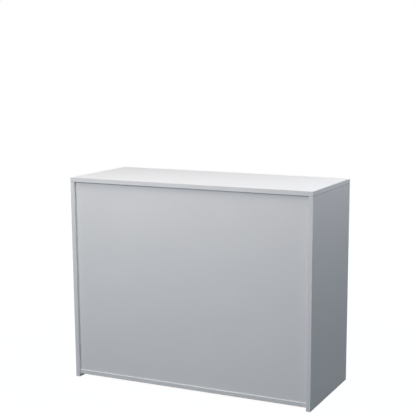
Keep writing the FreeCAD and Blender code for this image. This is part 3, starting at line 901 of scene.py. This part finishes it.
@dataclass
class ShelfPins:
    """Nickel spoon pins: a peg with a flange, and a rounded plate under the shelf.

    Sizes are in millimetres. The plate's heights are above the peg's axis, and its reach is out
    of the wall.
    """

    pole_radius: float = 0.05
    peg_radius: float = 2.45
    peg_depth: float = 8.0
    flange_radius: float = 4.0
    flange: float = 1.0
    plate_root: float = 0.5
    plate_top: float = 1.5
    plate: float = 2.5
    plate_tip: float = 1.5
    plate_half_width: float = 5.0
    tip_half_width: float = 0.15
    tip_share: float = 0.55
    taper_from: float = 2.0
    reach: float = 11.0
    squareness: float = 0.4
    peg_around: int = 40
    plate_around: int = 48
    plate_rings: int = 24
    wide_from: float = 4.5

    def _peg(self) -> np.ndarray:
        """Peg and flange: a rounded profile turned about the pin's Z, which points out of the wall.

        Returns:
            Points as rings by angles by three.
        """
        profile = rounded_profile(
            [
                (self.pole_radius, -self.peg_depth, 0.0),
                (self.peg_radius, -self.peg_depth, 0.6),
                (self.peg_radius, 0.0, 0.02),
                (self.flange_radius, 0.0, 0.15),
                (self.flange_radius, self.flange, 0.4),
                (self.pole_radius, self.flange, 0.0),
            ]
        )
        return turned(profile[:, :1], profile[:, 1:], angles(self.peg_around))

    def _plate(self) -> np.ndarray:
        """The spoon: a rounded oblong section carried out along Z.

        The section is x = c + (t/2) sgn(cos a)|cos a|^e and y = w sgn(sin a)|sin a|^e. Its
        half width w closes as a half ellipse at the end, and its thickness t tapers from below,
        so the upper face stays level. Along the share u of the rounded end, t also falls to the
        tip's share of itself as sqrt(1 - u^6).

        Returns:
            Points as rings by angles by three.
        """
        run = 1.0 - (1.0 - np.linspace(0.0, 1.0, self.plate_rings)) ** 2
        out = self.plate_root + (self.reach - self.plate_root) * run
        bowl = self.reach - self.plate_half_width
        end = np.clip((out - bowl) / self.plate_half_width, 0.0, 1.0)
        width = self.plate_half_width * np.sqrt(np.clip(1.0 - end**2, 0.0, 1.0))
        width = np.maximum(width, self.tip_half_width)
        taper = np.clip((out - self.taper_from) / (self.reach - self.taper_from), 0.0, 1.0)
        thick = self.plate + (self.plate_tip - self.plate) * taper
        full = np.sqrt(np.clip(1.0 - end**6, 0.0, 1.0))
        thick = thick * (self.tip_share + (1.0 - self.tip_share) * full)
        around = angles(self.plate_around)
        up = np.sign(np.cos(around)) * np.abs(np.cos(around)) ** self.squareness
        side = np.sign(np.sin(around)) * np.abs(np.sin(around)) ** self.squareness
        x = self.plate_top - thick[:, None] / 2 * (1.0 - up)
        y = width[:, None] * side
        z = np.broadcast_to(out[:, None], x.shape)
        return np.stack([x, y, z], axis=-1) * MM

    def _seat(self, lump: np.ndarray) -> Seat:
        """Where a pin sits, from its plain solid.

        Args:
            lump: The solid's points. It lies along X, and its plate shows which way is out.

        Returns:
            The seat, on the wall and with the plate's upper face upwards.
        """
        low, high = lump.min(axis=0), lump.max(axis=0)
        middle = (low + high) / 2
        plate = lump[np.abs(lump[:, 1] - middle[1]) > self.wide_from * MM][:, 0]
        sign = 1.0 if plate.mean() > middle[0] else -1.0
        middle[0] = plate.min() if sign > 0 else plate.max()
        out = np.array([sign, 0.0, 0.0])
        up = np.array([0.0, 0.0, 1.0])
        return Seat(middle, np.stack([up, np.cross(out, up), out]))

    def build(self) -> None:
        """Put a spoon pin at every plain one, under each shelf."""
        peg, plate = self._peg(), self._plate()
        for side in ("left", "right"):
            shells = Shells()
            for lump in islands(f"{side}_shelf_pins"):
                seat = self._seat(lump)
                shells.add(peg, seat)
                shells.add(plate, seat)
            piece = shells.piece(f"{side}_spoon_pins", NICKEL)
            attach(piece, "counter")
            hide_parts(f"{side}_shelf_pins")


@dataclass
class LevellingFoot:
    """The foot under the middle of the base: a threaded stud with a hexagon, and its pad.

    Sizes are in millimetres, and heights are above the floor.
    """

    pole_radius: float = 0.05
    thread_radius: float = 3.92
    thread_depth: float = 0.62
    pitch: float = 1.25
    stud_low: float = 1.7
    stud_high: float = 28.0
    end_chamfer: float = 0.9
    end_cut: float = 0.8
    thread_around: int = 32
    thread_rings: int = 200
    flats: float = 13.0
    hexagon_low: float = 5.2
    hexagon_high: float = 8.7
    chamfer_share: float = 0.97
    hexagon_around: int = 96
    hexagon_rings: int = 25
    pad_radius: float = 15.0
    pad_height: float = 5.0
    toe: float = 1.5
    toe_height: float = 0.6
    side_height: float = 2.6
    shoulder: float = 2.5
    shoulder_drop: float = 0.6
    boss_radius: float = 7.8
    socket_radius: float = 4.08
    socket_floor: float = 1.5
    ribs: int = 30
    rib_steps: int = 6
    rib_depth: float = 0.45
    rib_band: float = 2.6
    rib_fade: float = 2.2

    def _thread(self) -> np.ndarray:
        """The stud's thread: r = R - d clip(1.3 |2 frac(z / p - a / turn) - 1| - 0.15, 0, 1).

        Its depth d fades to nothing down to the hexagon, and towards the upper end, which is
        chamfered.

        Returns:
            Points as rings by angles by three.
        """
        around = angles(self.thread_around)
        height = np.linspace(self.stud_low, self.stud_high, self.thread_rings)[:, None]
        wave = np.abs(2.0 * np.mod(height / self.pitch - around / (2.0 * math.pi), 1.0) - 1.0)
        cut = np.clip(1.3 * wave - 0.15, 0.0, 1.0)
        fade = np.clip((height - self.hexagon_high) / self.pitch, 0.0, 1.0)
        end = np.clip((height - self.stud_high + self.end_chamfer) / self.end_chamfer, 0.0, 1.0)
        groove = self.thread_depth * cut * fade * (1.0 - end)
        radius = self.thread_radius - groove - self.end_cut * end
        return turned(radius * MM, height * MM, around)

    def _hexagon(self) -> np.ndarray:
        """The spanner hexagon: the lesser of (f / 2) / cos(a mod 60 - 30) and a 30 degree cone.

        Returns:
            Points as rings by angles by three.
        """
        around = angles(self.hexagon_around)
        prism = self.flats / 2 / np.cos(np.mod(around, math.pi / 3) - math.pi / 6)
        middle = (self.hexagon_low + self.hexagon_high) / 2
        half = (self.hexagon_high - self.hexagon_low) / 2
        level = half * np.sin(np.linspace(-math.pi / 2, math.pi / 2, self.hexagon_rings))
        height = np.concatenate([[-half], level, [half]])[:, None]
        cone = self.flats / 2 * self.chamfer_share + (half - np.abs(height)) * math.sqrt(3.0)
        radius = np.minimum(prism[None, :], cone)
        radius[[0, -1]] = self.thread_radius / 2
        return turned(radius * MM, (middle + height) * MM, around)

    def _pad(self) -> np.ndarray:
        """The pad: a rounded disc with a socket, its side drawn in by d (1 - |cos(n a / 2)|).

        Returns:
            Points as rings by angles by three.
        """
        profile = rounded_profile(
            [
                (self.pole_radius, 0.0, 0.0),
                (self.pad_radius - self.toe, 0.0, 0.0),
                (self.pad_radius, self.toe_height, 0.5),
                (self.pad_radius, self.side_height, 0.8),
                (self.pad_radius - self.shoulder, self.pad_height - self.shoulder_drop, 1.0),
                (self.boss_radius, self.pad_height, 0.8),
                (self.socket_radius, self.pad_height, 0.25),
                (self.socket_radius, self.socket_floor, 0.2),
                (self.pole_radius, self.socket_floor, 0.0),
            ]
        )
        around = angles(self.ribs * self.rib_steps)
        radius, height = profile[:, :1], profile[:, 1:]
        inner = (self.pad_radius - self.rib_band) * MM
        outer = np.clip((radius - inner) / (self.rib_fade * MM), 0.0, 1.0)
        raised = np.clip(height / MM, 0.0, 1.0)
        groove = 1.0 - np.abs(np.cos(self.ribs * around / 2))
        return turned(radius - self.rib_depth * MM * outer * raised * groove, height, around)

    def build(self) -> None:
        """Make the stud and the pad, and dress the insert that stays."""
        seat = Seat(np.zeros(3), np.eye(3))
        stud = Shells()
        stud.add(self._thread(), seat)
        stud.add(self._hexagon(), seat)
        threaded = stud.piece("threaded_stud", PLATED_STEEL, crease=50.0)
        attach(threaded, "levelling_stud")
        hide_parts("foot_stud")
        pad = Shells()
        pad.add(self._pad(), seat)
        ribbed = pad.piece("ribbed_foot_pad", FOOT_PLASTIC)
        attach(ribbed, "levelling_pad")
        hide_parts("foot_pad")
        dress(PLATED_STEEL, "insert_steel", ["foot_insert"])


@dataclass(frozen=True)
class Lamp:
    """A soft square lamp."""

    name: str
    place: tuple[float, float, float]
    size: float
    watts: float
    tint: Colour


@dataclass
class Studio:
    """Plain pale floor, white surroundings, soft lamps and the camera."""

    aim: tuple[float, float, float] = (0.0, 0.0, 0.5)
    lamps: tuple[Lamp, ...] = (
        Lamp("right_key", (0.5, -3.4, 2.2), 1.6, 34.9, (0.982, 0.955, 1.0)),
        Lamp("left_key", (-2.0, -3.0, 2.2), 1.2, 40.2, (1.0, 0.985, 0.980)),
        Lamp("overhead", (-0.3, -0.8, 2.6), 1.2, 22.8, (1.0, 0.973, 0.950)),
        Lamp("right_fill", (1.5, 0.0, 1.9), 0.8, 8.8, (0.905, 0.920, 1.0)),
        Lamp("left_fill", (-3.0, 0.2, 1.1), 1.2, 15.0, (0.985, 0.970, 1.0)),
        Lamp("staff_fill", (0.5, 3.2, 1.5), 1.4, 42.0, (0.995, 0.978, 1.0)),
    )
    ambient: Colour = (0.0, 0.008, 0.010)
    floor_half: float = 9.0
    floor_tone: Colour = (0.015, 0.085, 0.13)
    floor_glow: Colour = (0.985, 0.965, 0.955)
    glow_near: float = 0.8
    glow_far: float = 2.4
    position: tuple[float, float, float] = (1.8751, -3.8264, 1.4162)
    azimuth: float = 24.446
    elevation: float = 10.373
    sensor: float = 36.0
    lens: float = 85.884
    shift: tuple[float, float] = (-0.0721, 0.0721)

    @staticmethod
    def _seen(graph: Graph) -> Signal:
        """A mask of the rays that show the surroundings: camera, glossy and transmission rays.

        Args:
            graph: The graph to work in.

        Returns:
            One for such rays, else zero.
        """
        paths = ("Is Camera Ray", "Is Glossy Ray", "Is Transmission Ray")
        camera, glossy, through = (graph.node("ShaderNodeLightPath", output=path) for path in paths)
        return camera | glossy | through

    def _floor_material(self) -> bpy.types.Material:
        """A matt floor that glows white where it is seen, a little less near the counter.

        Returns:
            The floor's material.
        """
        material = bpy.data.materials.new("pale_floor")
        material.use_nodes = True
        graph = Graph(material.node_tree)
        far_off = graph.rise(graph.length(graph.coordinates()), self.glow_near, self.glow_far)
        glow = graph.blend(far_off, self.floor_glow, WHITE)
        sockets = {
            "Base Color": rgba(self.floor_tone),
            "Roughness": 1.0,
            "Specular IOR Level": 0.0,
            "Emission Color": graph.blend(self._seen(graph), BLACK, glow),
            "Emission Strength": 1.0,
        }
        surface = graph.node("ShaderNodeBsdfPrincipled", sockets=sockets)
        graph.node("ShaderNodeOutputMaterial", sockets={"Surface": surface})
        return material

    def _floor(self) -> None:
        """A flat square floor, which keeps the counter's shadow."""
        far = self.floor_half
        outline = [(-far, -far, 0.0), (far, -far, 0.0), (far, far, 0.0), (-far, far, 0.0)]
        mesh = bpy.data.meshes.new("floor")
        mesh.from_pydata(outline, [], [(0, 1, 2, 3)])
        mesh.materials.append(self._floor_material())
        floor = bpy.data.objects.new("floor", mesh)
        bpy.context.scene.collection.objects.link(floor)

    def _world(self) -> None:
        """White surroundings where they are seen, and a dim cool light elsewhere."""
        world = bpy.data.worlds.new("surroundings")
        world.use_nodes = True
        graph = Graph(world.node_tree)
        colour = graph.blend(self._seen(graph), self.ambient, WHITE)
        light = graph.node("ShaderNodeBackground", sockets={"Color": colour, "Strength": 1.0})
        graph.node("ShaderNodeOutputWorld", sockets={"Surface": light})
        bpy.context.scene.world = world

    def _light(self) -> None:
        """Hang the lamps, all aimed at the middle of the counter."""
        for lamp in self.lamps:
            data = bpy.data.lights.new(lamp.name, "AREA")
            data.shape = "SQUARE"
            data.size = lamp.size
            data.energy = lamp.watts
            data.color = lamp.tint
            hung = bpy.data.objects.new(lamp.name, data)
            hung.location = lamp.place
            towards = Vector(self.aim) - Vector(lamp.place)
            hung.rotation_euler = towards.to_track_quat("-Z", "Y").to_euler()
            hung.visible_camera = False
            bpy.context.scene.collection.objects.link(hung)

    def _camera(self) -> None:
        """Set the camera at the picture's angle."""
        data = bpy.data.cameras.new("camera")
        data.sensor_width = self.sensor
        data.lens = self.lens
        data.shift_x, data.shift_y = self.shift
        camera = bpy.data.objects.new("camera", data)
        turn = Matrix.Rotation(math.radians(self.azimuth), 4, "Z")
        tilt = Matrix.Rotation(math.radians(90.0 - self.elevation), 4, "X")
        camera.matrix_world = Matrix.Translation(self.position) @ turn @ tilt
        bpy.context.scene.collection.objects.link(camera)
        bpy.context.scene.camera = camera

    def build(self) -> None:
        """Set the whole studio up."""
        self._floor()
        self._world()
        self._light()
        self._camera()
        bpy.context.scene.view_settings.view_transform = "Standard"


def main() -> None:
    """Dress the counter, build its small pieces and set up the studio."""
    logging.basicConfig(level=logging.INFO, format="%(message)s")
    Boards().dress()
    EdgeTapes().dress()
    BoardFittings().dress()
    CoverCaps().build()
    ShelfPins().build()
    LevellingFoot().build()
    Studio().build()


if __name__ == "__main__":
    main()
